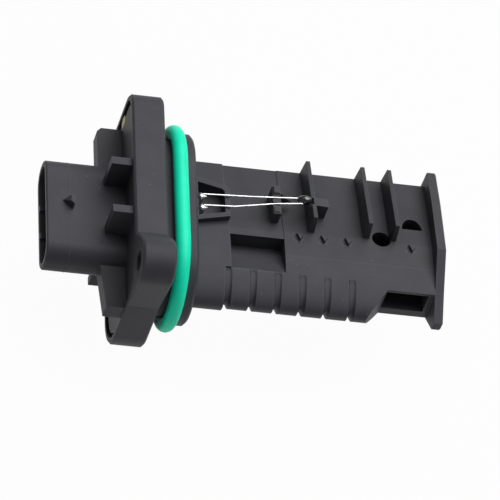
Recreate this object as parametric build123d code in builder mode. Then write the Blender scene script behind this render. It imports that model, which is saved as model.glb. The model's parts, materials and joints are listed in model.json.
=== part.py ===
"""Plug-in mass airflow sensor, in millimetres.

The sensor plugs into the side of an air duct. +X is the plug axis and points into the duct, +Y points to
the trailing edge of the probe, and +Z is the normal of the broad face that carries the thermistor.
The origin is on the plug axis, in the plane of the flange that is screwed against the duct.
"""
import os
from build123d import *

os.makedirs("parts", exist_ok=True)

# Flange: a plate with two screw lobes on one diagonal and a hollowed plug side
flange_length = 63.0
flange_width = 40.4
flange_thickness = 9.0
flange_corner_radius = 6.0
flange_low_radius = 11.5
flange_edge_bevel = 0.55
flange_offset_y = 1.4
flange_offset_z = -1.9
screw_y = 26.0
screw_z = 20.4
screw_hole_diameter = 5.8
lobe_radius = 6.6
lobe_shoulder_y = 15.2
lobe_end_z = 5.0
tray_rim = 1.7
tray_gap = 1.3
tray_depth = 3.4
tray_floor_drop = 0.5

# Plug socket
socket_length = 32.8
socket_width = 11.4
socket_radius = 5.0
socket_wall = 1.6
socket_reach = 21.4
socket_depth = 17.0
socket_mouth_bevel = 0.35
key_rib_width = 1.5
key_rib_height = 1.1
key_rib_y = 4.5
latch_length = 2.9
latch_ramp = 1.9
latch_height = 2.6
latch_from_mouth = 4.4
latch_y = (1.9, 1.5, -1.0)

# Stiffening fins and spine between socket and flange
fin_thickness = 2.3
fin_reach = 5.6
fin_top_z = 16.4
fin_y = (8.8, -6.8)
spine_half_length = 29.2
spine_half_width = 2.5
spine_reach = 6.3
spine_low_reach = 5.0
spine_corner = 1.1

# Seal seat and collar, all obrounds about the plug axis
seal_cord = 4.2
seal_cord_sides = 10
seal_half_length = 28.4
seal_half_width = 15.2
seal_gap = 2.5
seal_seat_clearance = 0.05
land_reach = 0.9
land_rise = 1.1
collar_gap = 0.1
collar_thickness = 2.6
collar_half_length = 28.6
collar_half_width = 14.0
collar_edge_bevel = 0.7

# Probe section, seen along the plug axis: a wing with its nose a little to the thermistor side
trailing_y = 21.8
trailing_half = 1.5
bend_y = -2.0
bend_front = 6.6
bend_back = 5.3
nose_center_y = -9.8
nose_front = 7.3
nose_back = 5.6
nose_reach = 15.3
nose_tip_z = 2.2
root_length = 10.2
root_rise = 0.55
probe_end = 76.4

# Covers on the thermistor side
electronics_cover_end = 34.8
cover_thickness = 1.6
channel_cover_rise = 0.25

# Nose: cooling grooves and the cut for the air inlet
groove_width = 2.0
groove_depth = 1.5
groove_rise = 0.15
groove_pitch = 6.87
groove_count = 6
groove_first = 18.0
groove_start_y = -15.7
inlet_start = 63.2
inlet_end = 75.0
inlet_y = -17.5
inlet_chamfer = 5.5

# Scoop in the electronics cover, beside the nose
window_y = -4.4
window_depth = 5.5
window_skin = 1.0
window_end_y = -15.6

# Ribs across the channel cover
rib_x = (42.4, 57.8, 65.3)
rib_foot = 1.9
rib_top = 1.1
rib_height = 6.2
rib_low_height = 6.5
rib_low_y = -1.3
rib_end_lean = 0.9
rib_sink = 0.3
buttress_length = 4.2
buttress_start = 7.2
buttress_end = 4.7
buttress_height = 7.0
buttress_drop = 0.4

# Block on the electronics cover that carries the thermistor leads
support_x = 31.2
support_length = 2.2
support_top_y = 10.4
support_low_y = 1.2
support_top = 10.5
support_slot = 1.0
support_slot_depth = 0.6

# Outlets and dents of the channel cover
round_outlet_x = 62.2
round_outlet_y = -0.9
round_outlet_diameter = 5.3
half_outlet_x = 71.4
half_outlet_y = 4.0
half_outlet_width = 5.7
half_outlet_height = 4.0
dent_radius = 1.25
dent_depth = 1.2
dent_x = (38.7, 45.5, 52.2, 70.1)
dent_y = -3.5

# End plate of the probe, with the corners of its outline seen along the plug axis
plate_thickness = 2.6
plate_edge_bevel = 0.4
plate_corners = (
    (23.1, 6.6), (11.6, 9.1), (3.4, 10.3), (-5.5, 11.5), (-16.4, 6.8), (-24.8, 3.6),
    (-24.8, 0.8), (-16.4, -5.2), (-5.5, -9.5), (11.6, -8.6), (23.1, -6.6),
)

# Air channel inside the probe
channel_floor = 1.9
sensing_leg_y = (3.0, 8.6)
sensing_leg_start = 38.6
return_leg_y = (-12.2, -5.4)
return_leg_end = 62.0
turn_width = 6.4
exit_leg_x = (57.0, 65.3)
exit_leg_y = (-6.8, 1.8)
inlet_leg_top_y = -8.0
straight_leg_start = 66.5
channel_corner = 2.0

# Electronics chamber and what it holds
chamber_start = 20.6
chamber_end = 33.4
chamber_y = (-12.4, 10.0)
chamber_floor = 2.4
chamber_corner = 1.0
shelf_length = 2.0
base_plate_thickness = 0.7
base_plate_margin = 0.2
board_length = 7.2
board_thickness = 0.7
board_margin = 0.6
carrier_start = 31.4
carrier_end = 47.0
carrier_foot = 1.6
carrier_width = 3.8
carrier_thickness = 1.1
carrier_z = 0.2
carrier_clearance = 0.1
chip_size = 2.6
chip_thickness = 0.35
chip_edge = 0.7
signal_chip_size = 5.0
signal_chip_thickness = 0.7
signal_chip_y = -1.0
capacitor_size = (1.6, 0.8, 0.7)
capacitor_y = -7.6
resistor_size = (1.0, 0.5, 0.35)
resistor_y = 5.0
small_part_pitch = 2.6
ribbon_width = 0.3
ribbon_thickness = 0.1
ribbon_reach = 1.0
gel_level = -0.2

# Contact pins
pin_count = 5
pin_pitch = 4.2
pin_size = 0.64
pin_tip_chamfer = 0.2
pin_mouth_gap = 4.6
pin_end = 22.2
pin_z = -0.8

# Thermistor with its leads and terminals, in the pocket of the probe root
terminal_y = (5.9, 2.3)
terminal_width = 1.0
terminal_x = 11.8
terminal_thickness = 0.8
terminal_top = 8.9
pocket_wall = 1.4
pocket_top = 9.0
pocket_depth = 4.2
pocket_y = (11.9, 9.8, -0.2, -2.6)
lead_diameter = 0.5
upper_lead = ((11.4, 5.9, 9.15), (25.0, 6.2, 9.9), (39.4, 6.7, 10.9))
lower_lead = ((11.4, 2.3, 9.15), (20.7, 2.6, 9.6), (31.9, 4.3, 10.5), (39.4, 5.0, 10.9))
bead_diameter = 2.4
bead_length = 3.8
bead_end_bevel = 0.7
bead_center = (40.4, 5.85, 10.9)
bead_notch_clearance = 0.15

# Places that follow from the sizes above
fit = 0.01
quarter_turn = 90
flange_back = -flange_thickness
mouth_x = flange_back - socket_reach
seal_x = seal_gap + seal_cord / 2
seal_straight = seal_half_length - seal_half_width
seat_half_width = seal_half_width - seal_cord / 2 - seal_seat_clearance
seat_half_length = seal_half_length - seal_cord / 2 - seal_seat_clearance
collar_start = seal_gap + seal_cord + collar_gap
collar_end = collar_start + collar_thickness
root_end = collar_end + root_length
nose_y = nose_center_y - nose_reach
face_slope = (bend_front - trailing_half) / (trailing_y - bend_y)
front_slope = (nose_front - bend_front) / (bend_y - nose_center_y)
latch_x = mouth_x + latch_from_mouth
key_rib_z = socket_width / 2 - socket_wall - key_rib_height / 2
cover_inner = nose_front - cover_thickness
window_rim_share = (1 - ((window_end_y - nose_center_y) / nose_reach) ** 2) ** 0.5
window_rim_z = nose_tip_z + (nose_front - nose_tip_z) * window_rim_share
channel_legs = (
    (inlet_start, inlet_end, inlet_y - 2 * channel_corner, inlet_leg_top_y),
    (straight_leg_start, inlet_end, inlet_leg_top_y - 2 * channel_corner, sensing_leg_y[1]),
    (sensing_leg_start, inlet_end, sensing_leg_y[0], sensing_leg_y[1]),
    (sensing_leg_start, sensing_leg_start + turn_width, return_leg_y[0], sensing_leg_y[1]),
    (sensing_leg_start, return_leg_end, return_leg_y[0], return_leg_y[1]),
    (exit_leg_x[0], exit_leg_x[1], exit_leg_y[0], exit_leg_y[1]),
)
chamber_middle_y = sum(chamber_y) / 2
chamber_width = chamber_y[1] - chamber_y[0]
shelf_z = pin_z - pin_size / 2
shelf_end = chamber_start + shelf_length
pin_top = pin_z + pin_size / 2
pin_places = [pin_pitch * (number - (pin_count - 1) / 2) for number in range(pin_count)]
base_plate_top = base_plate_thickness - chamber_floor
board_top = base_plate_top + board_thickness
board_start = shelf_end + board_margin
board_middle_x = board_start + board_length / 2
carrier_y = sum(sensing_leg_y) / 2
carrier_bottom = carrier_z - carrier_thickness / 2
pocket_foot = nose_front - pocket_depth
pocket_end = root_end - fit
pocket_corners = (
    (collar_end - fit, pocket_y[0]), (pocket_end - pocket_wall, pocket_y[1]),
    (pocket_end, pocket_y[1] - pocket_wall), (pocket_end, pocket_y[2]), (collar_end - fit, pocket_y[3]),
)
upper_slot_y = (upper_lead[1][1] + upper_lead[2][1]) / 2
lower_slot_y = lower_lead[2][1]
screw_places = ((-screw_y, screw_z), (screw_y, -screw_z))


def face_z(y):
    """Height of the broad face above the plug axis, between the trailing edge and the nose."""
    if y > bend_y:
        return bend_front - face_slope * (y - bend_y)
    return bend_front + front_slope * (bend_y - y)


def obround(x, half_length, half_width):
    """Slot shape along Y, at a place along the plug axis."""
    with BuildSketch(Plane.YZ.offset(x)) as outline:
        SlotOverall(2 * half_length, 2 * half_width)
    return outline.sketch


def flange_plate(inset):
    """Flange without its lobes, inset all round. The low corner away from the thermistor is rounder."""
    with BuildSketch() as outline:
        with Locations((flange_offset_y, flange_offset_z)):
            Rectangle(flange_length - 2 * inset, flange_width - 2 * inset)
        fillet(outline.vertices().sort_by(lambda corner: corner.X + corner.Y)[1:], flange_corner_radius - inset)
        fillet(outline.vertices().sort_by(lambda corner: corner.X + corner.Y)[0], flange_low_radius - inset)
    return outline.sketch


def outline_at(plane, corners):
    """Closed outline through its corners, on a plane."""
    with BuildSketch(plane) as outline:
        with BuildLine():
            Polyline(*corners, close=True)
        make_face()
    return outline.sketch


def probe_section(x, rise, nose_cut=0):
    """Wing section with a flat trailing edge, grown by a rise all round, with its nose cut back."""
    front = nose_front + rise
    back = nose_back + rise
    edge = trailing_half + rise
    reach = nose_reach + rise - nose_cut
    with BuildSketch(Plane.YZ.offset(x)) as outline:
        with BuildLine():
            Polyline((nose_center_y, front), (bend_y, bend_front + rise), (trailing_y, edge),
                     (trailing_y, -edge), (bend_y, -bend_back - rise), (nose_center_y, -back))
            EllipticalCenterArc((nose_center_y, nose_tip_z), reach, front - nose_tip_z,
                                start_angle=quarter_turn, arc_size=quarter_turn)
            EllipticalCenterArc((nose_center_y, nose_tip_z), reach, back + nose_tip_z,
                                start_angle=2 * quarter_turn, arc_size=quarter_turn)
        make_face()
    return outline.sketch


def nose_groove(x):
    """Solid to cut a groove round the nose, which runs out towards the broad faces."""
    with BuildPart() as groove:
        with BuildSketch(Plane.YZ.offset(x)):
            with Locations((groove_start_y, 0)):
                Rectangle(nose_reach, 4 * nose_front, align=(Align.MAX, Align.CENTER))
        extrude(amount=groove_width)
        extrude(probe_section(x, -groove_rise, groove_depth - groove_rise), amount=groove_width,
                mode=Mode.SUBTRACT)
    return groove


def cover_corners(rise):
    """Corners of the channel cover: the skin between the trailing edge and the nose."""
    return (
        (nose_center_y, cover_inner), (bend_y, bend_front - cover_thickness),
        (trailing_y, trailing_half - cover_thickness), (trailing_y, trailing_half + rise),
        (bend_y, bend_front + rise), (nose_center_y, nose_front),
    )


def scoop_corners():
    """Corners of the underside of the electronics cover, from the nose to the trailing edge."""
    floor_z = face_z(window_y) - window_depth
    return (
        (window_end_y, window_rim_z - cover_thickness), (window_y - window_skin, floor_z - window_skin),
        (window_y + window_skin, floor_z - window_skin),
        (window_y + window_skin, face_z(window_y) - cover_thickness),
        (bend_y + window_skin, bend_front - cover_thickness), (trailing_y, trailing_half - cover_thickness),
    )


def terminal(y):
    """Terminal of the thermistor: a leg into the electronics chamber and a post up into the pocket."""
    with BuildPart() as blade:
        with BuildSketch(Plane.XZ.offset(-y - terminal_width / 2)):
            with BuildLine():
                Polyline((terminal_x, shelf_z), (pin_end, shelf_z), (pin_end, pin_top),
                         (terminal_x + terminal_thickness, pin_top),
                         (terminal_x + terminal_thickness, terminal_top), (terminal_x, terminal_top),
                         close=True)
            make_face()
        extrude(amount=terminal_width)
    return blade


def lead(points):
    """Round wire along its points."""
    with BuildPart() as wire:
        with BuildLine() as path:
            Polyline(*points)
        with BuildSketch(Plane(origin=path.line @ 0, z_dir=path.line % 0)):
            Circle(lead_diameter / 2)
        sweep(path=path.line, transition=Transition.RIGHT)
    return wire


def rib(x):
    """Rib across the channel cover, narrower at its top, with a leaning low end."""
    foot_low = face_z(rib_low_y) + channel_cover_rise - rib_sink
    foot_high = trailing_half + channel_cover_rise - rib_sink
    low_plane = Plane(origin=(x, rib_low_y, foot_low), x_dir=(1, 0, 0),
                      z_dir=(0, -rib_low_height, rib_end_lean))
    high_plane = Plane(origin=(x, trailing_y, foot_high), x_dir=(1, 0, 0), z_dir=(0, -1, 0))
    with BuildPart() as ridge:
        for plane, height in ((high_plane, rib_height), (low_plane, rib_low_height)):
            with BuildSketch(plane):
                with BuildLine():
                    Polyline((-rib_foot / 2, 0), (rib_foot / 2, 0), (rib_top / 2, height),
                             (-rib_top / 2, height), close=True)
                make_face()
        loft(ruled=True)
    return ridge


# Contact pins: they stand in the socket and end on the shelf of the electronics chamber
pins = []
for number, y in enumerate(pin_places, 1):
    with BuildPart() as contact_pin:
        with Locations(((mouth_x + pin_mouth_gap + pin_end) / 2, y, pin_z)):
            Box(pin_end - mouth_x - pin_mouth_gap, pin_size, pin_size)
        chamfer(contact_pin.faces().sort_by(Axis.X)[0].edges(), pin_tip_chamfer)
    contact_pin.part.label = f"contact_pin_{number}"
    export_step(contact_pin.part, f"parts/contact_pin_{number}.step")
    pins.append(contact_pin.part)

# Thermistor terminals
ntc_terminal_upper = terminal(terminal_y[0])
ntc_terminal_upper.part.label = "ntc_terminal_upper"
export_step(ntc_terminal_upper.part, "parts/ntc_terminal_upper.step")

ntc_terminal_lower = terminal(terminal_y[1])
ntc_terminal_lower.part.label = "ntc_terminal_lower"
export_step(ntc_terminal_lower.part, "parts/ntc_terminal_lower.step")

# Thermistor leads
ntc_lead_upper = lead(upper_lead)
ntc_lead_upper.part.label = "ntc_lead_upper"
export_step(ntc_lead_upper.part, "parts/ntc_lead_upper.step")

ntc_lead_lower = lead(lower_lead)
ntc_lead_lower.part.label = "ntc_lead_lower"
export_step(ntc_lead_lower.part, "parts/ntc_lead_lower.step")

# Thermistor bead, round at both ends, that the leads run into
with BuildPart() as ntc_bead:
    with Locations(bead_center):
        Cylinder(bead_diameter / 2, bead_length, rotation=(0, 90, 0))
    chamfer(ntc_bead.edges().filter_by(GeomType.CIRCLE), bead_end_bevel)
    add([ntc_lead_upper.part, ntc_lead_lower.part], mode=Mode.SUBTRACT)
ntc_bead.part.label = "ntc_bead"
export_step(ntc_bead.part, "parts/ntc_bead.step")

# Seal ring
with BuildPart() as seal_ring:
    with BuildLine(Plane.YZ.offset(seal_x)) as seal_path:
        CenterArc((seal_straight, 0), seal_half_width, -90, 180)
        CenterArc((-seal_straight, 0), seal_half_width, 90, 180)
        Line((seal_straight, seal_half_width), (-seal_straight, seal_half_width))
        Line((-seal_straight, -seal_half_width), (seal_straight, -seal_half_width))
    with BuildSketch(Plane(origin=(seal_x, 0, seal_half_width), z_dir=(0, 1, 0))):
        RegularPolygon(seal_cord / 2, seal_cord_sides)
    sweep(path=seal_path.wire())
seal_ring.part.label = "seal_ring"
export_step(seal_ring.part, "parts/seal_ring.step")

# Latch lug of the socket: a ramp with a pointed front
with BuildPart() as latch:
    extrude(outline_at(Plane.XZ.offset(-latch_y[0]), (
        (latch_x, socket_width / 2), (latch_x + latch_ramp, socket_width / 2 + latch_height),
        (latch_x + latch_length, socket_width / 2 + latch_height),
        (latch_x + latch_length, socket_width / 2 - socket_wall / 2),
        (latch_x, socket_width / 2 - socket_wall / 2))), amount=latch_y[0] - latch_y[2])
    extrude(outline_at(Plane.XY.offset(socket_width / 2 - socket_wall), (
        (latch_x, latch_y[1]), (latch_x + latch_length, latch_y[0]), (latch_x + latch_length, latch_y[2]))),
        amount=socket_wall + latch_height, mode=Mode.INTERSECT)

# Housing: socket, flange, seal seat, collar and probe frame in one moulding
with BuildPart() as housing:
    with BuildSketch(Plane.YZ.offset(flange_back)):
        add(flange_plate(0))
        for y, z in screw_places:
            side = 1 if z > 0 else -1
            with BuildLine() as lobe:
                CenterArc((y, z), lobe_radius, 0, 360)
                Line((-side * lobe_shoulder_y, flange_offset_z + side * flange_width / 2),
                     (flange_offset_y - side * flange_length / 2, side * lobe_end_z))
            make_hull(lobe.edges())
    extrude(amount=flange_thickness)
    flange_rims = housing.edges().group_by(Axis.X)
    chamfer(flange_rims[0] + flange_rims[-1], flange_edge_bevel)

    # Hollow of the plug side, which leaves a rim and an island a little below it
    with BuildSketch(Plane.YZ.offset(flange_back)):
        add(flange_plate(tray_rim))
        with Locations(*screw_places):
            Circle(lobe_radius, mode=Mode.SUBTRACT)
    extrude(amount=tray_floor_drop, mode=Mode.SUBTRACT)
    with BuildSketch(Plane.YZ.offset(flange_back)):
        add(flange_plate(tray_rim))
        add(flange_plate(tray_rim + tray_gap), mode=Mode.SUBTRACT)
        with Locations(*screw_places):
            Circle(lobe_radius, mode=Mode.SUBTRACT)
    extrude(amount=tray_depth, mode=Mode.SUBTRACT)

    # Fins and spine between the socket and the flange
    with BuildSketch(Plane.YZ.offset(flange_back - fin_reach)):
        for y in fin_y:
            with Locations((y, fin_top_z / 2), (-y, -fin_top_z / 2)):
                Rectangle(fin_thickness, fin_top_z)
    extrude(amount=fin_reach + tray_floor_drop)
    extrude(outline_at(Plane.XY.offset(-spine_half_width), (
        (flange_back + tray_floor_drop, spine_half_length),
        (flange_back - spine_reach + spine_corner, spine_half_length),
        (flange_back - spine_reach, spine_half_length - spine_corner),
        (flange_back - spine_reach, -socket_length / 2),
        (flange_back - spine_low_reach, -spine_half_length),
        (flange_back + tray_floor_drop, -spine_half_length))), amount=2 * spine_half_width)

    # Plug socket with its latch, keying ribs and cavity
    with BuildSketch(Plane.YZ.offset(mouth_x)):
        RectangleRounded(socket_length, socket_width, socket_radius)
    extrude(amount=socket_reach + tray_floor_drop)
    chamfer(housing.faces().sort_by(Axis.X)[0].edges(), socket_mouth_bevel)
    add(latch.part)
    with BuildSketch(Plane.YZ.offset(mouth_x)):
        RectangleRounded(socket_length - 2 * socket_wall, socket_width - 2 * socket_wall,
                         socket_radius - socket_wall)
        with Locations((key_rib_y, -key_rib_z), (-key_rib_y, -key_rib_z)):
            Rectangle(key_rib_width, key_rib_height, mode=Mode.SUBTRACT)
    extrude(amount=socket_depth, mode=Mode.SUBTRACT)

    # Seal seat, the land that locates the seal, and the collar
    extrude(obround(0, seat_half_length, seat_half_width), amount=collar_end)
    extrude(obround(0, seat_half_length + land_rise, seat_half_width + land_rise), amount=land_reach)
    extrude(obround(collar_start, collar_half_length, collar_half_width), amount=collar_thickness)
    collar_rim = housing.edges().filter_by_position(Axis.X, collar_end - fit, collar_end + fit)
    chamfer(collar_rim, collar_edge_bevel)

    # Probe frame and its thicker root
    extrude(probe_section(collar_end, 0), amount=probe_end - collar_end)
    extrude(probe_section(collar_end, root_rise), amount=root_length)

    # Grooves round the nose, which run out where the nose meets the broad faces
    for number in range(groove_count):
        add(nose_groove(groove_first + number * groove_pitch).part, mode=Mode.SUBTRACT)

    # Seats of the two covers, open above
    extrude(outline_at(Plane.YZ.offset(root_end), (
        *scoop_corners(), (trailing_y, 2 * nose_front), (window_end_y, 2 * nose_front))),
        amount=electronics_cover_end - root_end, mode=Mode.SUBTRACT)
    extrude(outline_at(Plane.YZ.offset(electronics_cover_end), cover_corners(nose_front)),
            amount=probe_end - electronics_cover_end, mode=Mode.SUBTRACT)

    # Cut of the nose in front of the air inlet, with a slanted end
    extrude(outline_at(Plane.XY.offset(-2 * nose_front), (
        (inlet_start - inlet_chamfer, nose_y), (inlet_start, inlet_y), (probe_end, inlet_y),
        (probe_end, 2 * nose_y), (inlet_start - inlet_chamfer, 2 * nose_y))),
        amount=4 * nose_front, mode=Mode.SUBTRACT)

    # Air channel from the inlet past the sensor chip, back round the turn and to the outlets
    with BuildSketch(Plane.XY.offset(-channel_floor)):
        for start, end, low, high in channel_legs:
            with Locations(((start + end) / 2, (low + high) / 2)):
                RectangleRounded(end - start, high - low, channel_corner)
    extrude(amount=channel_floor + cover_inner, mode=Mode.SUBTRACT)

    # Electronics chamber with a shelf for the contact ends, and the slot of the sensor carrier
    with BuildSketch(Plane.XY.offset(-chamber_floor)):
        with Locations(((shelf_end + chamber_end) / 2, chamber_middle_y)):
            RectangleRounded(chamber_end - shelf_end, chamber_width, chamber_corner)
    extrude(amount=chamber_floor + cover_inner, mode=Mode.SUBTRACT)
    with BuildSketch(Plane.XY.offset(shelf_z)):
        with Locations(((chamber_start + chamber_end) / 2, chamber_middle_y)):
            RectangleRounded(chamber_end - chamber_start, chamber_width, chamber_corner)
    extrude(amount=cover_inner - shelf_z, mode=Mode.SUBTRACT)
    with Locations(((chamber_end + sensing_leg_start) / 2, carrier_y, carrier_z)):
        Box(sensing_leg_start - chamber_end + 2 * channel_corner, carrier_width + 2 * carrier_clearance,
            carrier_thickness + 2 * carrier_clearance, mode=Mode.SUBTRACT)

    # End plate of the probe
    extrude(outline_at(Plane.YZ.offset(probe_end), plate_corners), amount=plate_thickness)
    chamfer(housing.faces().sort_by(Axis.X)[-1].edges(), plate_edge_bevel)

    # Frame and pocket round the thermistor terminals
    extrude(outline_at(Plane.XY.offset(pocket_foot), pocket_corners), amount=pocket_top - pocket_foot)
    with BuildSketch(Plane.XY.offset(pocket_top - pocket_depth)):
        with BuildLine():
            Polyline(*pocket_corners, close=True)
        make_face()
        offset(amount=-pocket_wall, kind=Kind.INTERSECTION, mode=Mode.REPLACE)
    extrude(amount=pocket_depth, mode=Mode.SUBTRACT)

    # Screw holes through the lobes, and the holes of the pins and terminals
    with BuildSketch(Plane.YZ.offset(flange_back)):
        with Locations(*screw_places):
            Circle(screw_hole_diameter / 2)
    extrude(amount=flange_thickness, mode=Mode.SUBTRACT)
    add(pins, mode=Mode.SUBTRACT)
    add(ntc_terminal_upper.part, mode=Mode.SUBTRACT)
    add(ntc_terminal_lower.part, mode=Mode.SUBTRACT)
housing.part.label = "housing"
export_step(housing.part, "parts/housing.step")

# Electronics cover with its scoop and the block that carries the leads
with BuildPart() as electronics_cover:
    extrude(outline_at(Plane.YZ.offset(root_end), (
        *scoop_corners(), (trailing_y, trailing_half), (bend_y, bend_front), (window_y, face_z(window_y)),
        (window_y, face_z(window_y) - window_depth), (window_end_y, window_rim_z))),
        amount=electronics_cover_end - root_end)
    extrude(outline_at(Plane.YZ.offset(support_x), (
        (support_top_y, face_z(support_top_y) - rib_sink), (support_top_y, support_top),
        (support_low_y, support_top), (support_low_y, face_z(support_low_y) - rib_sink))),
        amount=support_length)
    with Locations((support_x, upper_slot_y, support_top), (support_x, lower_slot_y, support_top)):
        Box(4 * support_length, support_slot, 2 * support_slot_depth, mode=Mode.SUBTRACT)
electronics_cover.part.label = "electronics_cover"
export_step(electronics_cover.part, "parts/electronics_cover.step")

# Channel cover with its ribs, buttress, outlets and dents
with BuildPart() as channel_cover:
    extrude(outline_at(Plane.YZ.offset(electronics_cover_end), cover_corners(channel_cover_rise)),
            amount=probe_end - electronics_cover_end)
    for x in rib_x:
        add(rib(x).part)
    buttress_foot = face_z(buttress_start) - rib_sink
    extrude(outline_at(Plane.XZ.offset(-buttress_start), (
        (rib_x[0], buttress_foot), (rib_x[0] + buttress_length, buttress_foot),
        (rib_x[0] + buttress_length, buttress_foot + buttress_height - buttress_drop),
        (rib_x[0], buttress_foot + buttress_height))), amount=buttress_start - buttress_end)
    with BuildSketch(Plane.XY.offset(-nose_front)):
        with Locations((round_outlet_x, round_outlet_y)):
            Circle(round_outlet_diameter / 2)
        with Locations((half_outlet_x, half_outlet_y)):
            Ellipse(half_outlet_width / 2, half_outlet_height)
            Rectangle(half_outlet_width, half_outlet_height, align=(Align.CENTER, Align.MAX),
                      mode=Mode.SUBTRACT)
    extrude(amount=4 * nose_front, mode=Mode.SUBTRACT)
    for x in dent_x:
        with Locations((x, dent_y, face_z(dent_y) + channel_cover_rise - dent_depth)):
            Cone(0, dent_radius * 2, dent_depth * 2, align=(Align.CENTER, Align.CENTER, Align.MIN),
                 mode=Mode.SUBTRACT)
    with Locations(bead_center):
        Cylinder(bead_diameter / 2 + bead_notch_clearance, bead_length + 2 * bead_notch_clearance,
                 rotation=(0, 90, 0), mode=Mode.SUBTRACT)
channel_cover.part.label = "channel_cover"
export_step(channel_cover.part, "parts/channel_cover.step")

# Base plate under the circuit
with BuildPart() as base_plate:
    with Locations(((shelf_end + chamber_end) / 2, chamber_middle_y, -chamber_floor)):
        Box(chamber_end - shelf_end - 2 * base_plate_margin, chamber_width - 2 * base_plate_margin,
            base_plate_thickness, align=(Align.CENTER, Align.CENTER, Align.MIN))
    fillet(base_plate.edges().filter_by(Axis.Z), chamber_corner)
base_plate.part.label = "base_plate"
export_step(base_plate.part, "parts/base_plate.step")

# Circuit board on the base plate
with BuildPart() as circuit_board:
    with Locations((board_middle_x, chamber_middle_y, base_plate_top)):
        Box(board_length, chamber_width - 2 * board_margin, board_thickness,
            align=(Align.CENTER, Align.CENTER, Align.MIN))
circuit_board.part.label = "circuit_board"
export_step(circuit_board.part, "parts/circuit_board.step")

# Parts on the board
with BuildPart() as signal_chip:
    with Locations((board_middle_x, signal_chip_y, board_top)):
        Box(signal_chip_size, signal_chip_size, signal_chip_thickness,
            align=(Align.CENTER, Align.CENTER, Align.MIN))
signal_chip.part.label = "signal_chip"
export_step(signal_chip.part, "parts/signal_chip.step")

with BuildPart() as board_capacitors:
    with Locations((board_middle_x, capacitor_y, board_top)):
        with GridLocations(small_part_pitch, small_part_pitch, 2, 2):
            Box(*capacitor_size, align=(Align.CENTER, Align.CENTER, Align.MIN))
board_capacitors.part.label = "board_capacitors"
export_step(board_capacitors.part, "parts/board_capacitors.step")

with BuildPart() as board_resistors:
    with Locations((board_middle_x, resistor_y, board_top)):
        with GridLocations(small_part_pitch / 2, small_part_pitch, 3, 2):
            Box(*resistor_size, align=(Align.CENTER, Align.CENTER, Align.MIN))
board_resistors.part.label = "board_resistors"
export_step(board_resistors.part, "parts/board_resistors.step")

# Bond ribbons from the pins and terminals down to the board
with BuildPart() as bond_ribbons:
    for y in (*pin_places, *terminal_y):
        extrude(outline_at(Plane.XZ.offset(-y - ribbon_width / 2), (
            (pin_end - ribbon_reach, pin_top), (pin_end, pin_top), (board_start, board_top),
            (board_start + ribbon_reach, board_top), (board_start + ribbon_reach, board_top + ribbon_thickness),
            (board_start + ribbon_thickness, board_top + ribbon_thickness),
            (pin_end + ribbon_thickness, pin_top + ribbon_thickness),
            (pin_end - ribbon_reach, pin_top + ribbon_thickness))), amount=ribbon_width)
bond_ribbons.part.label = "bond_ribbons"
export_step(bond_ribbons.part, "parts/bond_ribbons.step")

# Sensor carrier: a tongue from the base plate through the wall into the air channel
with BuildPart() as sensor_carrier:
    with Locations((carrier_start, carrier_y, carrier_bottom)):
        Box(carrier_end - carrier_start, carrier_width, carrier_thickness,
            align=(Align.MIN, Align.CENTER, Align.MIN))
        Box(carrier_foot, carrier_width, carrier_bottom - base_plate_top,
            align=(Align.MIN, Align.CENTER, Align.MAX))
sensor_carrier.part.label = "sensor_carrier"
export_step(sensor_carrier.part, "parts/sensor_carrier.step")

# Sensor chip on the end of the carrier
with BuildPart() as sensor_chip:
    with Locations((carrier_end - chip_edge, carrier_y, carrier_bottom + carrier_thickness)):
        Box(chip_size, chip_size, chip_thickness, align=(Align.MAX, Align.CENTER, Align.MIN))
sensor_chip.part.label = "sensor_chip"
export_step(sensor_chip.part, "parts/sensor_chip.step")

# Gel over the circuit, round everything that stands in the chamber
with BuildPart() as gel_fill:
    with BuildSketch(Plane.XY.offset(shelf_z)):
        with Locations(((chamber_start + chamber_end) / 2, chamber_middle_y)):
            RectangleRounded(chamber_end - chamber_start, chamber_width, chamber_corner)
    extrude(amount=gel_level - shelf_z)
    add(pins, mode=Mode.SUBTRACT)
    for inner in (ntc_terminal_upper, ntc_terminal_lower, base_plate, circuit_board, signal_chip,
                  board_capacitors, board_resistors, bond_ribbons, sensor_carrier):
        add(inner.part, mode=Mode.SUBTRACT)
gel_fill.part.label = "gel_fill"
export_step(gel_fill.part, "parts/gel_fill.step")
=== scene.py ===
# %% [markdown]
# # Mass airflow sensor
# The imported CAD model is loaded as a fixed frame, in metres. The lengths of the finishes and pieces below are
# in millimetres and are turned to metres by MM. Those of the floor, the light and the camera's clipping are
# in metres. The scene adds the finishes, the small pieces that facets can't show, the light and the camera.
# Two CAD meshes are replaced by rounder ones, and the others stay as they are.

# %% Load the frame
import bmesh
import bpy
import json
import math
from mathutils import Matrix, Vector


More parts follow.
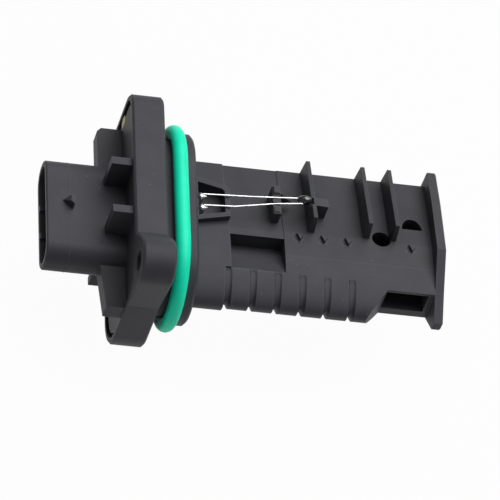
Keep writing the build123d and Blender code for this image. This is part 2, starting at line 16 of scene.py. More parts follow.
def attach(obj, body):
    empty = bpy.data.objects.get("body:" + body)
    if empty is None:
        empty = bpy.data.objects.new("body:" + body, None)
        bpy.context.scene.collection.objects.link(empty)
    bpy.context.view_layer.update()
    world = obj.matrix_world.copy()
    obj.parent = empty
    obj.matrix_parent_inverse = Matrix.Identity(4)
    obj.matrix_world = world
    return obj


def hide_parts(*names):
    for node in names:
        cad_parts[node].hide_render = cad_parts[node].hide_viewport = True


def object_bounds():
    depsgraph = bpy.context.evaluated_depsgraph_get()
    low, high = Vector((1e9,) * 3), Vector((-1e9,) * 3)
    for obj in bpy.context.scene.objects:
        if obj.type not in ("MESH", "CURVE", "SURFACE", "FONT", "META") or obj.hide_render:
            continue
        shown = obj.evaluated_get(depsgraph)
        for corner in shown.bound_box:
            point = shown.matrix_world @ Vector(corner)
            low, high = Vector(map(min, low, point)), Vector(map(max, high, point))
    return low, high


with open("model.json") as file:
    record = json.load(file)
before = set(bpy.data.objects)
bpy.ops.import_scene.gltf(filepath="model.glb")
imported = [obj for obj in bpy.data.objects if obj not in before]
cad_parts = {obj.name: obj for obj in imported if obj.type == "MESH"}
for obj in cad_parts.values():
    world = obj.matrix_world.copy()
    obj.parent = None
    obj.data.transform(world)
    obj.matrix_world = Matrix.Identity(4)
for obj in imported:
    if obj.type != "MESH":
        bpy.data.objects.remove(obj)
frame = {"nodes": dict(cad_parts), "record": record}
nodes = frame["nodes"]
MM = 0.001
cad_low, cad_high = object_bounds()
print("nodes", len(nodes), "box", [round(x, 4) for x in (*cad_low, *cad_high)])

# %% [markdown]
# ## Camera
# A product photographer stands well back with a long lens, so parallel edges stay almost parallel. The three
# rows below are the picture's right, down and towards-the-camera directions in the part's own axes. They come
# from a fit to the photograph: the plug axis slopes down to the right, and the probe's broad face looks up.

# %% Camera
RIGHT = Vector((0.97169, -0.03705, 0.23332))
DOWN = Vector((0.10213, -0.8247, -0.55627))
TOWARDS = Vector((-0.21303, -0.56435, 0.79757))
STAND_RIGHT = 26.324
STAND_DOWN = 6.351
STAND_BACK = 1405.405
SENSOR = 36.0
FOCAL_PX = 5200.0
PICTURE_PX = 500.0
CLIP_NEAR = 0.1
CLIP_FAR = 10.0

camera_data = bpy.data.cameras.new("camera")
camera_data.sensor_width = SENSOR
camera_data.lens = FOCAL_PX / PICTURE_PX * SENSOR
camera_data.clip_start = CLIP_NEAR
camera_data.clip_end = CLIP_FAR
camera = bpy.data.objects.new("camera", camera_data)
bpy.context.scene.collection.objects.link(camera)
turn = Matrix((RIGHT, -DOWN, TOWARDS)).transposed().to_4x4()
place = (RIGHT * STAND_RIGHT + DOWN * STAND_DOWN + TOWARDS * STAND_BACK) * MM
camera.matrix_world = Matrix.Translation(place) @ turn
bpy.context.scene.camera = camera
print("camera at", [round(x, 3) for x in place])

# %% [markdown]
# ## Tools for the finishes
# A finish is a small tree of nodes. Each helper below adds one kind of node with its links. A material reads
# the piece's own coordinates, so a pattern stays on the piece from every side.


# %% Tools for the finishes
MIDDLE = (0.3, 0.7)  # values of a noise that are drawn out to the whole range
GLOSSIEST = 0.8  # share of a finish's roughness where it is glossiest


def linear(code):
    """Linear RGBA of an sRGB hex colour."""
    channels = [int(code[i:i + 2], 16) / 255 for i in (0, 2, 4)]
    return (*[c / 12.92 if c <= 0.04045 else ((c + 0.055) / 1.055) ** 2.4 for c in channels], 1.0)


def add_node(tree, kind, links=(), **settings):
    """Adds a shader node, sets its properties or inputs by name, and links (input, socket) pairs."""
    node = tree.nodes.new("ShaderNode" + kind)
    for name, value in settings.items():
        label = name.replace("_", " ")
        if label in node.inputs:
            node.inputs[label].default_value = value
        else:
            setattr(node, name, value)
    for name, socket in links:
        tree.links.new(socket, node.inputs[name])
    return node


def new_material(name):
    """Material with its tree, its Principled shader and the object coordinates in metres."""
    material = bpy.data.materials.new(name)
    material.use_nodes = True
    tree = material.node_tree
    return material, tree, tree.nodes["Principled BSDF"], add_node(tree, "TexCoord").outputs["Object"]


def noise(tree, place, size_mm, detail, **settings):
    """Noise with patches about size_mm across."""
    return add_node(tree, "TexNoise", links=[("Vector", place)], Scale=1 / (size_mm * MM), Detail=detail,
                    **settings).outputs["Fac"]


def remap(tree, value, start, end, low=0.0, high=1.0):
    """Value mapped from start and end to low and high, and held there beyond them."""
    return add_node(tree, "MapRange", links=[("Value", value)], From_Min=start, From_Max=end, To_Min=low,
                    To_Max=high).outputs["Result"]


def mix(tree, share, first, second):
    """Mix of two colours, of which the first may be the socket of another mix."""
    node = add_node(tree, "Mix", data_type="RGBA", links=[("Factor", share)], B=linear(second))
    if isinstance(first, str):
        node.inputs["A"].default_value = linear(first)
    else:
        tree.links.new(first, node.inputs["A"])
    return node.outputs["Result"]


def bump(tree, height, strength, depth_mm, under=None):
    """Normal that a height bends, on top of the normal under it."""
    links = [("Height", height)]
    if under is not None:
        links.append(("Normal", under))
    return add_node(tree, "Bump", links=links, Strength=strength, Distance=depth_mm * MM).outputs["Normal"]


def drive(tree, shader, colour, rough, normal):
    """Links colour, roughness and normal to the shader."""
    for name, socket in (("Base Color", colour), ("Roughness", rough), ("Normal", normal)):
        tree.links.new(socket, shader.inputs[name])


def drive_by(tree, shader, pattern, dark, pale, rough, strength, depth_mm):
    """Lets one pattern change the colour, the gloss and the height together."""
    share = remap(tree, pattern, *MIDDLE)
    drive(tree, shader, mix(tree, share, dark, pale), remap(tree, share, 0.0, 1.0, *rough),
          bump(tree, pattern, strength, depth_mm))


print("tools ready")

# %% [markdown]
# ## Moulded glass-filled PBT
# Housing and covers are injection moulded from charcoal PBT with glass fibre. The spark-eroded mould leaves
# a fine dull grain, the melt leaves broad flow marks, and the fibres leave a few pale specks. Where the
# plastic turns a sharp corner it is painted a little paler. This is a painted highlight in place of the light
# that a rounded edge would catch. Grain, flow marks and specks are noises of three sizes. Short occlusion rays
# inside the plastic find the corners for that painted highlight, and a Bevel node rounds them, because the CAD
# meshes have sharp ones.

# %% Moulded plastic
FLOW_MM = 9.0
GRAIN_MM = 0.22  # coarser than the real grain, which is too fine to show
GRAIN_ROUGHNESS = 0.6
SPECK_MM = 0.5
SPECK_RANGE = (0.77, 0.82)
SPECK_PALE = "808084"
# Painted highlight on sharp corners: the range of the inside-occlusion mask and the paler colour mixed in
# there.
EDGE_HIGHLIGHT_RANGE = (0.95, 0.5)
EDGE_HIGHLIGHT = "727276"
EDGE_SAMPLES = 6
PLASTIC_ROUGH = (0.5, 0.66)
PLASTIC_SPECULAR = 0.3
FLOW_STRENGTH = 0.5
FLOW_DEPTH_MM = 0.05
GRAIN_STRENGTH = 0.8
GRAIN_DEPTH_MM = 0.035


def moulded_plastic(name, dark, pale, edge_mm, edge_highlight=0.35):
    """Dull charcoal plastic whose corners are rounded by edge_mm and lightened by a painted highlight, at the
    share given last.
    """
    material, tree, shader, place = new_material(name)
    flow = noise(tree, place, FLOW_MM, 4.0)
    fine = noise(tree, place, GRAIN_MM, 2.0, Roughness=GRAIN_ROUGHNESS)
    dust = noise(tree, place, SPECK_MM, 1.0)
    inside = add_node(tree, "AmbientOcclusion", inside=True, samples=EDGE_SAMPLES, Distance=edge_mm * MM)
    # Painted highlight: where the short inside rays find a corner, the tone is mixed towards the paler edge
    # colour.
    edge_highlight_share = remap(tree, inside.outputs["AO"], *EDGE_HIGHLIGHT_RANGE, high=edge_highlight)
    tone = mix(tree, remap(tree, flow, *MIDDLE), dark, pale)
    highlighted = mix(tree, edge_highlight_share, tone, EDGE_HIGHLIGHT)
    # The pale specks are the plastic's own. The colour they are mixed into already carries the painted
    # highlight.
    specks_and_highlight = mix(tree, remap(tree, dust, *SPECK_RANGE), highlighted, SPECK_PALE)
    rounded = add_node(tree, "Bevel", samples=EDGE_SAMPLES, Radius=edge_mm * MM).outputs["Normal"]
    waves = bump(tree, flow, FLOW_STRENGTH, FLOW_DEPTH_MM, rounded)
    grained = bump(tree, fine, GRAIN_STRENGTH, GRAIN_DEPTH_MM, waves)
    drive(tree, shader, specks_and_highlight, remap(tree, fine, *MIDDLE, *PLASTIC_ROUGH), grained)
    shader.inputs["Specular IOR Level"].default_value = PLASTIC_SPECULAR
    return material


# The housing is a thick moulding: soft corners and slow changes of tone.
moulded_pbt = moulded_plastic("moulded_glass_filled_pbt", "3A3A40", "424247", 0.35)
# The covers are thin sheets of the same plastic: crisper corners, a shade warmer.
moulded_pbt_sheet = moulded_plastic("moulded_pbt_sheet", "3A3A3F", "424246", 0.25)
# Thin skins that lie flush on the moulding have no painted edge highlight of their own.
flush_pbt = moulded_plastic("moulded_pbt_flush", "3A3A40", "424247", 0.06, edge_highlight=0.0)
print("plastics", moulded_pbt.name, moulded_pbt_sheet.name, flush_pbt.name)

# %% [markdown]
# ## Moulded silicone rubber
# The seal is pigmented silicone, moulded in a polished mould and oiled for fitting, so it is bright and
# satin with hardly any grain.

# %% Green silicone
CLOUD_MM = 6.0
SKIN_MM = 0.3
SILICONE_ROUGH = (0.42, 0.55)
SILICONE_SPECULAR = 0.3
SKIN_STRENGTH = 0.4
SKIN_DEPTH_MM = 0.01

silicone, tree, shader, place = new_material("moulded_silicone_rubber")
cloud = noise(tree, place, CLOUD_MM, 3.0)
skin = noise(tree, place, SKIN_MM, 3.0)
drive(tree, shader, mix(tree, remap(tree, cloud, *MIDDLE), "06EFBE", "0CF8C8"),
      remap(tree, skin, *MIDDLE, *SILICONE_ROUGH), bump(tree, skin, SKIN_STRENGTH, SKIN_DEPTH_MM))
shader.inputs["Specular IOR Level"].default_value = SILICONE_SPECULAR
print("rubber", silicone.name)

# %% [markdown]
# ## Drawn, stamped and rolled metals
# Wire is drawn and strip is rolled, and both leave fine streaks along their length, here the plug axis. The
# streaks are a noise that is stretched twenty times along that axis, and they change colour, gloss and
# height together.

# %% Metals
STRETCH = 0.05
DULLEST_STREAK = 1.25
STREAK_STRENGTH = 0.5
STREAK_DEPTH_MM = 0.005


def worked_metal(name, dark, pale, rough, streak_mm):
    """Metal worked along the plug axis, with streaks streak_mm apart."""
    material, tree, shader, place = new_material(name)
    along = add_node(tree, "Mapping", links=[("Vector", place)], Scale=(STRETCH, 1.0, 1.0))
    streaks = noise(tree, along.outputs["Vector"], streak_mm, 3.0)
    drive_by(tree, shader, streaks, dark, pale, (rough * GLOSSIEST, rough * DULLEST_STREAK),
             STREAK_STRENGTH, STREAK_DEPTH_MM)
    shader.inputs["Metallic"].default_value = 1.0
    return material


# Stamped brass under tin: warm grey, soft gloss.
tinned_brass = worked_metal("stamped_tinned_brass", "B9B6AE", "D8D5CC", 0.28, 0.2)
# Tinned wire: almost white, with a bright line along its lit side.
tinned_wire = worked_metal("drawn_tinned_wire", "E2E2E4", "FAFAFB", 0.24, 0.15)
# Rolled aluminium: cool grey and duller.
rolled_aluminium = worked_metal("rolled_aluminium", "A9ABAD", "C8CACC", 0.35, 0.4)
# Bonded aluminium ribbon: bright and thin.
bonded_ribbon = worked_metal("bonded_aluminium_ribbon", "C4C5C7", "DEDFE1", 0.3, 0.1)
print("metals", tinned_brass.name, tinned_wire.name, rolled_aluminium.name, bonded_ribbon.name)

# %% [markdown]
# ## Fired, dipped and cast finishes
# Ceramics, glass and epoxy have no direction. They are mottled at the size of their grains or drops, and
# differ in gloss: fired alumina is dull, dipped glass is wet.

# %% Ceramics, glass and epoxy
LEAD_GLASS_IOR = 1.8
DULLEST_SPOT = 1.2
SPOT_STRENGTH = 0.8


def mottled_finish(name, dark, pale, rough, spot_mm, coat=0.0, relief_mm=0.01):
    """Finish without direction, with spots spot_mm across."""
    material, tree, shader, place = new_material(name)
    spots = noise(tree, place, spot_mm, 3.0)
    drive_by(tree, shader, spots, dark, pale, (rough * GLOSSIEST, rough * DULLEST_SPOT), SPOT_STRENGTH,
             relief_mm)
    shader.inputs["Coat Weight"].default_value = coat
    return material


# Dark glass that coats the bead: nearly black with sharp lights.
dipped_glass = mottled_finish("dipped_dark_glass", "131416", "202124", 0.1, 0.9, coat=0.7, relief_mm=0.2)
dipped_glass.node_tree.nodes["Principled BSDF"].inputs["IOR"].default_value = LEAD_GLASS_IOR
# Fired alumina of the board and the sensor's carrier: off-white and dull.
fired_alumina = mottled_finish("fired_alumina", "D9D8D0", "E8E7E0", 0.5, 0.5)
# Black epoxy package, moulded.
moulded_epoxy = mottled_finish("moulded_black_epoxy", "151517", "1E1E20", 0.45, 0.3)
# Fired ceramic of the capacitors: tan brown.
fired_ceramic = mottled_finish("fired_brown_ceramic", "6B4E33", "7C5C3E", 0.4, 0.3)
# Glaze over the film of the resistors: black, half gloss.
fired_glaze = mottled_finish("fired_black_glaze", "1A1A1C", "26262A", 0.3, 0.2)
# Polished silicon: dark blue-grey mirror.
polished_silicon = mottled_finish("polished_silicon", "2B2F3C", "3A3F50", 0.12, 0.4)
# Enamel dabbed on by brush: pale yellow, uneven.
brushed_enamel = mottled_finish("brushed_marking_paint", "DEDC8C", "F4F1A8", 0.5, 1.2)
print("materials so far", len(bpy.data.materials))

# %% [markdown]
# ## Poured silicone gel
# The electronics lie under clear gel that is poured and cured in place. Light goes through it, with a
# slightly uneven gloss on top.

# %% Gel
RIPPLE_MM = 2.0
GEL_ROUGH = (0.04, 0.12)
GEL_CLEAR = 0.9
GEL_IOR = 1.41

gel, tree, shader, place = new_material("poured_silicone_gel")
ripple = noise(tree, place, RIPPLE_MM, 3.0)
tree.links.new(remap(tree, ripple, *MIDDLE, *GEL_ROUGH), shader.inputs["Roughness"])
shader.inputs["Base Color"].default_value = linear("E6EBE6")
shader.inputs["Transmission Weight"].default_value = GEL_CLEAR
shader.inputs["IOR"].default_value = GEL_IOR
print("gel", gel.name)

# %% [markdown]
# ## Finishes on the CAD nodes
# Each node of the part names its material slot in the record, so one table gives every node its finish.

# %% Finish by slot
by_slot = {
    "housing": moulded_pbt, "cover": moulded_pbt_sheet, "seal": silicone, "contact": tinned_brass,
    "lead": tinned_wire, "bead": dipped_glass, "base_plate": rolled_aluminium, "board": fired_alumina,
    "chip": moulded_epoxy, "capacitor": fired_ceramic, "resistor": fired_glaze, "ribbon": bonded_ribbon,
    "carrier": fired_alumina, "silicon": polished_silicon, "gel": gel,
}
for row in frame["record"]["subparts"]:
    mesh = nodes[row["node"]].data
    mesh.materials.clear()
    mesh.materials.append(by_slot[row["material_slot"]])

# %% [markdown]
# ## From a bmesh to a piece
# Each piece below is made in the part's own frame, in millimetres, with its object at the origin, and rides
# on the part's one body.


# %% Piece and its parts
JOIN_MM = 0.0005


def piece(name, bm, material, smooth=True):
    """Object from a bmesh in millimetres, riding on the part."""
    bmesh.ops.remove_doubles(bm, verts=bm.verts, dist=JOIN_MM)
    bmesh.ops.recalc_face_normals(bm, faces=bm.faces)
    bmesh.ops.scale(bm, vec=(MM, MM, MM), verts=bm.verts)
    mesh = bpy.data.meshes.new(name)
    bm.to_mesh(mesh)
    bm.free()
    mesh.polygons.foreach_set("use_smooth", [smooth] * len(mesh.polygons))
    mesh.materials.append(material)
    made = bpy.data.objects.new(name, mesh)
    bpy.context.scene.collection.objects.link(made)
    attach(made, "root")
    print(name, "faces", len(mesh.polygons))
    return made


def edges_of(geometry):
    """Only the edges of an operator's result."""
    return [item for item in geometry if isinstance(item, bmesh.types.BMEdge)]


def verts_of(geometry):
    """Only the vertices of an operator's result."""
    return [item for item in geometry if isinstance(item, bmesh.types.BMVert)]


# %% [markdown]
# ## Seal ring
# The real ring is a moulded rubber cord, round in section, that lies in an oval. The solid has a cord of ten
# sides. Here a circle of edges is spun round one end of the oval and extruded along one straight. The same
# half, turned by half a turn, closes the oval. That keeps the cord round and its reflections smooth.

# %% Spin the seal ring
SEAL_CORD = 4.2
SEAL_CORD_SIDES = 40
SEAL_X = 4.6
SEAL_HALF_LENGTH = 28.4
SEAL_HALF_WIDTH = 15.2
SEAL_STRAIGHT = SEAL_HALF_LENGTH - SEAL_HALF_WIDTH
HALF_TURN_STEPS = 56

ring = bmesh.new()
bmesh.ops.create_circle(ring, segments=SEAL_CORD_SIDES, radius=SEAL_CORD / 2)
bmesh.ops.rotate(ring, cent=(0, 0, 0), matrix=Matrix.Rotation(math.pi / 2, 3, "X"), verts=ring.verts)
bmesh.ops.translate(ring, vec=(SEAL_X, SEAL_STRAIGHT, SEAL_HALF_WIDTH), verts=ring.verts)
turned = bmesh.ops.spin(ring, geom=ring.verts[:] + ring.edges[:], cent=(SEAL_X, SEAL_STRAIGHT, 0),
                        axis=(-1, 0, 0), angle=math.pi, steps=HALF_TURN_STEPS, use_merge=False,
                        use_duplicate=False)["geom_last"]
drawn = bmesh.ops.extrude_edge_only(ring, edges=edges_of(turned))["geom"]
bmesh.ops.translate(ring, vec=(0, -2 * SEAL_STRAIGHT, 0), verts=verts_of(drawn))
half = bmesh.ops.duplicate(ring, geom=ring.verts[:] + ring.edges[:] + ring.faces[:])["geom"]
bmesh.ops.rotate(ring, cent=(SEAL_X, 0, 0), matrix=Matrix.Rotation(math.pi, 3, "X"), verts=verts_of(half))
seal = piece("seal_ring_round", ring, silicone)
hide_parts("seal_ring")

# %% [markdown]
# ## Thermistor bead
# The sensing bead is dipped in glass round both leads, so it is a small egg, thicker where the glass ran
# together and drawn in where the leads enter. A sphere stretched along the leads and drawn in at one end has
# that form, where the solid is a cylinder with bevelled ends.

# %% Stretch a sphere to the bead
BEAD_AT = (39.95, 6.2, 11.05)
BEAD_RADIUS = 1.3
BEAD_HALF_LENGTH = 2.1
BEAD_DRAWN_IN = 0.3
BEAD_SIDES = 40
BEAD_RINGS = 24

egg = bmesh.new()
bmesh.ops.create_uvsphere(egg, u_segments=BEAD_SIDES, v_segments=BEAD_RINGS, radius=BEAD_RADIUS)
bmesh.ops.rotate(egg, cent=(0, 0, 0), matrix=Matrix.Rotation(math.pi / 2, 3, "Y"), verts=egg.verts)
bmesh.ops.scale(egg, vec=(BEAD_HALF_LENGTH / BEAD_RADIUS, 1.0, 1.0), verts=egg.verts)
for vert in egg.verts:
    back = max(0.0, -vert.co.x / BEAD_HALF_LENGTH)
    vert.co.z *= 1 - BEAD_DRAWN_IN * back
bmesh.ops.translate(egg, vec=BEAD_AT, verts=egg.verts)
bead = piece("ntc_bead_egg", egg, dipped_glass)
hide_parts("ntc_bead")

# %% [markdown]
# ## Welds of the leads
# Each lead is resistance-welded to its terminal, which leaves a drop of bright metal, wide on the blade and
# drawn out along the lead. A flattened sphere whose lead side is drawn out does that.

# %% Two welds
WELD_AT = {"weld_upper": (11.65, 5.25, 9.1), "weld_lower": (11.75, 1.6, 9.1)}
WELD_RADIUS = 1.05
WELD_FLAT = 0.72
WELD_TAPER = 0.45
WELD_DRAWN_OUT = 1.5
WELD_SUBDIVISIONS = 4

for name, at in WELD_AT.items():
    drop = bmesh.new()
    bmesh.ops.create_icosphere(drop, subdivisions=WELD_SUBDIVISIONS, radius=WELD_RADIUS)
    for vert in drop.verts:
        ahead = max(0.0, vert.co.x / WELD_RADIUS)
        vert.co.y *= 1 - WELD_TAPER * ahead
        vert.co.z *= WELD_FLAT * (1 - WELD_TAPER * ahead)
        vert.co.x *= 1 + (WELD_DRAWN_OUT - 1) * ahead
    bmesh.ops.translate(drop, vec=at, verts=drop.verts)
    piece(name, drop, tinned_wire)

# %% [markdown]
# ## Pips on the channel cover
# Four small three-sided pips stand in a row beside the outlets. Their steep sides turn away from the light,
# so each reads as a dark V. Each pip is a triangle extruded up and drawn in, on a flush round foot that
# fills the dent in the solid.

# %% Extrude the pips
PIP_X = (38.7, 45.5, 52.2, 70.1)
PIP_Y = -3.5
PIP_FACE_Z = 6.98
PIP_FACE_SLOPE = 0.0897
PIP_FOOT = ((-1.0, 1.1), (0.28, -1.47), (1.66, 0.63))
PIP_TOP = ((-0.45, 0.75), (0.42, -1.15), (1.15, 0.25))
PIP_HEIGHT = 1.0
PIP_SUNK = 0.5
PLUG_RADIUS = 1.42
PLUG_SIDES = 40
PLUG_PROUD = 0.015

pips = bmesh.new()
feet = bmesh.new()
lean = Matrix.Rotation(math.atan(PIP_FACE_SLOPE), 3, "X")
for x in PIP_X:
    foot = [pips.verts.new((x + dx, PIP_Y + dy, PIP_FACE_Z - PIP_SUNK)) for dx, dy in PIP_FOOT]
    face = pips.faces.new(foot)
    grown = bmesh.ops.extrude_face_region(pips, geom=[face], use_keep_orig=True)["geom"]
    for vert in verts_of(grown):
        corner = min(range(len(foot)), key=lambda k: (vert.co - foot[k].co).length)
        vert.co = Vector((x + PIP_TOP[corner][0], PIP_Y + PIP_TOP[corner][1], PIP_FACE_Z + PIP_HEIGHT))
    plug = bmesh.ops.create_cone(feet, cap_ends=True, segments=PLUG_SIDES, radius1=PLUG_RADIUS,
                                 radius2=PLUG_RADIUS, depth=PIP_SUNK)["verts"]
    bmesh.ops.rotate(feet, cent=(0, 0, 0), matrix=lean, verts=plug)
    bmesh.ops.translate(feet, vec=(x, PIP_Y, PIP_FACE_Z + PLUG_PROUD - PIP_SUNK / 2), verts=plug)
piece("cover_pips", pips, moulded_pbt_sheet, smooth=False)
piece("cover_pip_feet", feet, flush_pbt, smooth=False)

# %% [markdown]
# ## Round bottoms of the nose grooves
# The cooling grooves of the moulding have a round bottom and run out at their ends. The solid has square
# ones, so a thin liner lies in each groove. It is a grid bent round the nose: the place along the grid's
# length is an angle round the two quarter ellipses of the nose.

# %% Bend a grid round the nose
NOSE_Y = -9.8
NOSE_Z = 2.2
NOSE_REACH = 15.3
NOSE_FRONT = 5.1  # half height of the ellipse above NOSE_Z
NOSE_BACK = 7.8  # and of the one below it
FLOOR_REACH = 13.8
FLOOR_RISE = 0.15
GROOVE_WIDTH = 2.0
GROOVE_PITCH = 6.87
GROOVE_FIRST = 18.0
GROOVE_COUNT = 6
GROOVE_END = math.radians(67.6)
SHEET = 0.08


def on_nose(x, angle, share, lift):
    """Point at an angle round the nose: share 0 is the groove's floor, 1 the land, and lift is above it."""
    height = NOSE_FRONT if angle > 0 else NOSE_BACK
    reach = FLOOR_REACH + (NOSE_REACH - FLOOR_REACH) * share
    rise = height - FLOOR_RISE * (1 - share)
    out = Vector((0, -math.cos(angle) / reach, math.sin(angle) / rise)).normalized()
    return Vector((x, NOSE_Y - reach * math.cos(angle), NOSE_Z + rise * math.sin(angle))) + lift * out


def bent_grid(across, along, shape):
    """Closed thin sheet: a grid from -1 to 1 both ways, bent by shape(s, t) and given a wall."""
    bm = bmesh.new()
    bmesh.ops.create_grid(bm, x_segments=across, y_segments=along, size=1.0)
    for vert in bm.verts:
        vert.co = shape(vert.co.x, vert.co.y)
    bmesh.ops.recalc_face_normals(bm, faces=bm.faces)
    bmesh.ops.solidify(bm, geom=bm.faces[:], thickness=SHEET)
    return bm


# %% Liners of the grooves
END_ROUND = math.radians(9)
LINER_LIFT = 0.012
LINER_GRID = (14, 64)


def groove_liner(start):
    """Liner of one groove, a round trough whose ends run out."""
    def shape(s, t):
        angle = t * GROOVE_END
        run_out = max(0.0, (abs(angle) - GROOVE_END + END_ROUND) / END_ROUND)
        share = 1 - math.sqrt(max(0.0, 1 - s * s - run_out * run_out))
        return on_nose(start + GROOVE_WIDTH / 2 * (1 + s), angle, min(share, 1.0), LINER_LIFT)
    return bent_grid(*LINER_GRID, shape)


for number in range(GROOVE_COUNT):
    liner = groove_liner(GROOVE_FIRST + number * GROOVE_PITCH)
    piece(f"groove_liner_{number + 1}", liner, flush_pbt)

# %% [markdown]
# ## Cradle for the leads
# The block under the leads ends in two posts, so the leads can't slip off, and a thin gusset holds it from
# behind. The solid has a flat top with two slots. Each post is a face of a few corners, extruded across the
# block, and the gusset is a sloping face extruded to a web. All their edges are bevelled.

# %% Posts and gusset
POST_X = 31.4
POST_LENGTH = 1.7
UPPER_POST = ((10.3, 10.3), (9.7, 11.3), (7.6, 11.3), (7.1, 10.3))
LOWER_POST = ((3.5, 10.3), (3.2, 10.9), (1.6, 10.9), (1.3, 10.3))
POST_BEVEL = 0.15
POST_BEVEL_STEPS = 2
GUSSET_Y = 7.3
GUSSET_WIDTH = 1.0
GUSSET = ((33.0, 6.6), (33.0, 11.0), (33.5, 11.0), (37.2, 7.4), (37.2, 6.6))

cradle = bmesh.new()
for line in (UPPER_POST, LOWER_POST):
    profile = cradle.faces.new([cradle.verts.new((POST_X, y, z)) for y, z in line])
    across = bmesh.ops.extrude_face_region(cradle, geom=[profile], use_keep_orig=True)["geom"]
    bmesh.ops.translate(cradle, vec=(POST_LENGTH, 0, 0), verts=verts_of(across))
profile = cradle.faces.new([cradle.verts.new((x, GUSSET_Y, z)) for x, z in GUSSET])
across = bmesh.ops.extrude_face_region(cradle, geom=[profile], use_keep_orig=True)["geom"]
bmesh.ops.translate(cradle, vec=(0, GUSSET_WIDTH, 0), verts=verts_of(across))
bmesh.ops.recalc_face_normals(cradle, faces=cradle.faces)
bmesh.ops.bevel(cradle, geom=cradle.edges[:], affect="EDGES", offset=POST_BEVEL,
                segments=POST_BEVEL_STEPS, profile=0.5, material=-1)
piece("lead_cradle", cradle, moulded_pbt_sheet, smooth=False)

# %% [markdown]
# ## Parting line of the socket
# Two slides of the mould meet on the socket and leave a hair line round it. A square face is scaled to the
# socket's outline, its corners are rounded, and the ring that an inset leaves is extruded to a narrow band.

# %% Band round the socket
SOCKET_HALF = (5.7, 16.4)
SOCKET_RADIUS = 5.0
LINE_X = -24.3
LINE_WIDTH = 0.22
LINE_PROUD = 0.05
LINE_DEPTH = 0.12
CORNER_STEPS = 12

band = bmesh.new()
bmesh.ops.create_grid(band, x_segments=1, y_segments=1, size=1.0)
bmesh.ops.scale(band, vec=(*(size + LINE_PROUD for size in SOCKET_HALF), 1.0), verts=band.verts)
bmesh.ops.bevel(band, geom=band.verts[:], affect="VERTICES", offset=SOCKET_RADIUS + LINE_PROUD,
                segments=CORNER_STEPS, profile=0.5, material=-1)
core = band.faces[:]
bmesh.ops.inset_region(band, faces=core, thickness=LINE_DEPTH, use_boundary=True, use_even_offset=True)
bmesh.ops.delete(band, geom=core, context="FACES")
wide = bmesh.ops.extrude_face_region(band, geom=band.faces[:], use_keep_orig=True)["geom"]
bmesh.ops.translate(band, vec=(0, 0, LINE_WIDTH), verts=verts_of(wide))
bmesh.ops.rotate(band, cent=(0, 0, 0), matrix=Matrix.Rotation(math.pi / 2, 3, "Y"), verts=band.verts)
bmesh.ops.translate(band, vec=(LINE_X, 0, 0), verts=band.verts)
piece("socket_parting_line", band, moulded_pbt, smooth=False)

# %% [markdown]
# ## Paint dot
# A dab of yellow enamel lies on the hollow side of the flange. It is a thin oval with a sloping rim.

# %% Dab of paint
DOT_AT = (-8.54, 29.9, 5.4)
DOT_HALF = (1.4, 2.4)
DOT_SIDES = 32
DOT_TOP_SHARE = 0.92
DOT_THICKNESS = 0.06

dot = bmesh.new()
bmesh.ops.create_cone(dot, cap_ends=True, segments=DOT_SIDES, radius1=1.0, radius2=DOT_TOP_SHARE,
                      depth=DOT_THICKNESS)
bmesh.ops.rotate(dot, cent=(0, 0, 0), matrix=Matrix.Rotation(-math.pi / 2, 3, "Y"), verts=dot.verts)
bmesh.ops.scale(dot, vec=(1.0, *DOT_HALF), verts=dot.verts)
bmesh.ops.translate(dot, vec=DOT_AT, verts=dot.verts)
piece("paint_dot", dot, brushed_enamel)

# %% [markdown]
# ## Floor
# The photograph is cut out on white. The floor is plain studio paper: cameras, mirrors and glass see it
# almost white, while it lights the part only as a pale grey sheet does, and it keeps the part's shadow.

# %% Studio paper
FLOOR_HALF = 3.0
FLOOR_GAP = 0.002
WHITE_SHARE = 0.965

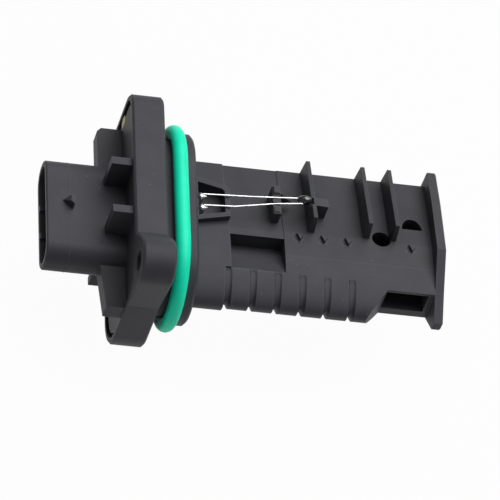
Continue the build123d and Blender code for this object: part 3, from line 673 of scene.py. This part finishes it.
paper = bmesh.new()
bmesh.ops.create_grid(paper, x_segments=1, y_segments=1, size=FLOOR_HALF)
bmesh.ops.translate(paper, vec=(0, 0, cad_low.z - FLOOR_GAP), verts=paper.verts)
floor_data = bpy.data.meshes.new("floor")
paper.to_mesh(floor_data)
paper.free()
floor = bpy.data.objects.new("floor", floor_data)
bpy.context.scene.collection.objects.link(floor)
studio_paper, tree, shader, _ = new_material("studio_paper")
shader.inputs["Base Color"].default_value = linear("CFCFCF")
shader.inputs["Specular IOR Level"].default_value = 0.0
glow = add_node(tree, "Emission", Color=linear("FFFFFF"), Strength=1.0)
ray = add_node(tree, "LightPath").outputs
mirrored = add_node(tree, "Math", operation="MAXIMUM",
                    links=[(0, ray["Is Glossy Ray"]), (1, ray["Is Transmission Ray"])])
seen = add_node(tree, "Math", operation="MAXIMUM",
                links=[(0, ray["Is Camera Ray"]), (1, mirrored.outputs[0])])
part_seen = add_node(tree, "Math", operation="MULTIPLY", links=[(0, seen.outputs[0])])
part_seen.inputs[1].default_value = WHITE_SHARE
mixed = add_node(tree, "MixShader", links=[(0, part_seen.outputs[0]), (1, shader.outputs["BSDF"]),
                                           (2, glow.outputs["Emission"])])
tree.links.new(mixed.outputs["Shader"], tree.nodes["Material Output"].inputs["Surface"])
floor_data.materials.append(studio_paper)
print("floor at", round(cad_low.z - FLOOR_GAP, 4))

# %% [markdown]
# ## Light
# One large soft box high above, towards the probe's end and its trailing edge, lights the broad faces and
# leaves the faces towards the plug dark, as in the photograph. A weak even sky fills the rest.

# %% Lights
KEY_AT = Vector((0.42, 0.40, 1.1))
KEY_SIZE = 1.4
KEY_POWER = 20.0
PART_MIDDLE = Vector((0.024, 0, 0))
SKY_STRENGTH = 0.18

key_data = bpy.data.lights.new("key", "AREA")
key_data.shape = "SQUARE"
key_data.size = KEY_SIZE
key_data.energy = KEY_POWER
key = bpy.data.objects.new("key", key_data)
bpy.context.scene.collection.objects.link(key)
key.location = KEY_AT
key.rotation_mode = "QUATERNION"
key.rotation_quaternion = (PART_MIDDLE - KEY_AT).to_track_quat("-Z", "Y")
world = bpy.data.worlds.new("world")
bpy.context.scene.world = world
world.use_nodes = True
world.node_tree.nodes["Background"].inputs["Color"].default_value = linear("E8E9EC")
world.node_tree.nodes["Background"].inputs["Strength"].default_value = SKY_STRENGTH
bpy.context.scene.view_settings.view_transform = "Standard"
print("lights", len(bpy.data.lights))
